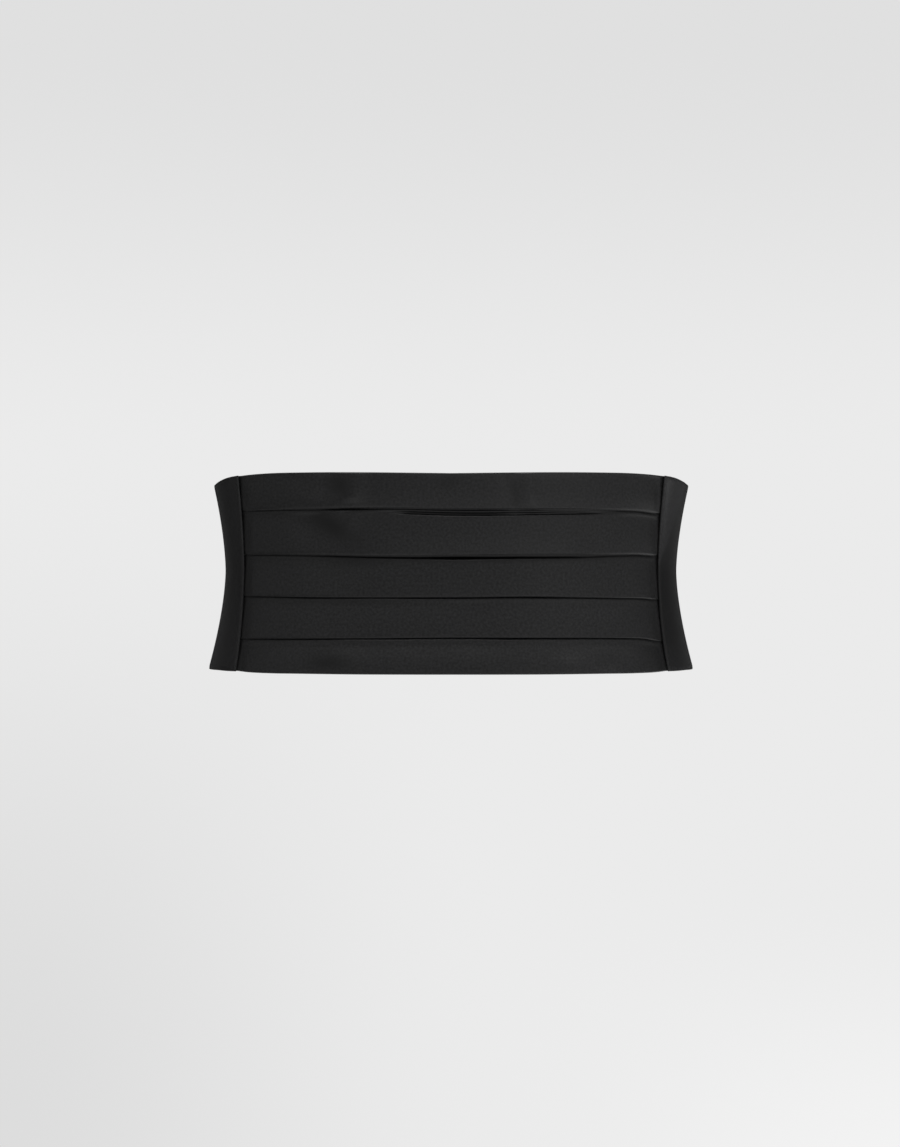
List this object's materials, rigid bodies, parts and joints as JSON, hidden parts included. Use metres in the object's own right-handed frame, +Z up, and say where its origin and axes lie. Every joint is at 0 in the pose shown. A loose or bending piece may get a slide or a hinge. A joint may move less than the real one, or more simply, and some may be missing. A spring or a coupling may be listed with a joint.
{
  "type": "cummerbund",
  "caption": "Pleated satin waist sash, fastened into a loop, with plain side panels that narrow to a strap and clasp behind.",
  "frame": {"origin": "on the loop's upright axis at the waist, its narrowest level, where a body holds it", "axes": "+Z up, -Y out of the pleated front, +X to the right as the front is seen"},
  "size_m": [0.312, 0.2292, 0.126],
  "materials": {
    "front_satin": "satin",
    "side_satin": "satin",
    "strap_satin": "satin",
    "clasp_metal": "satin black"
  },
  "bodies": {
    "root": {"pleated_front": "front_satin", "side_panel_left": "side_satin", "side_panel_right": "side_satin", "back_strap_left": "strap_satin", "back_strap_right": "strap_satin", "back_clasp": "clasp_metal"}
  },
  "joints": []
}
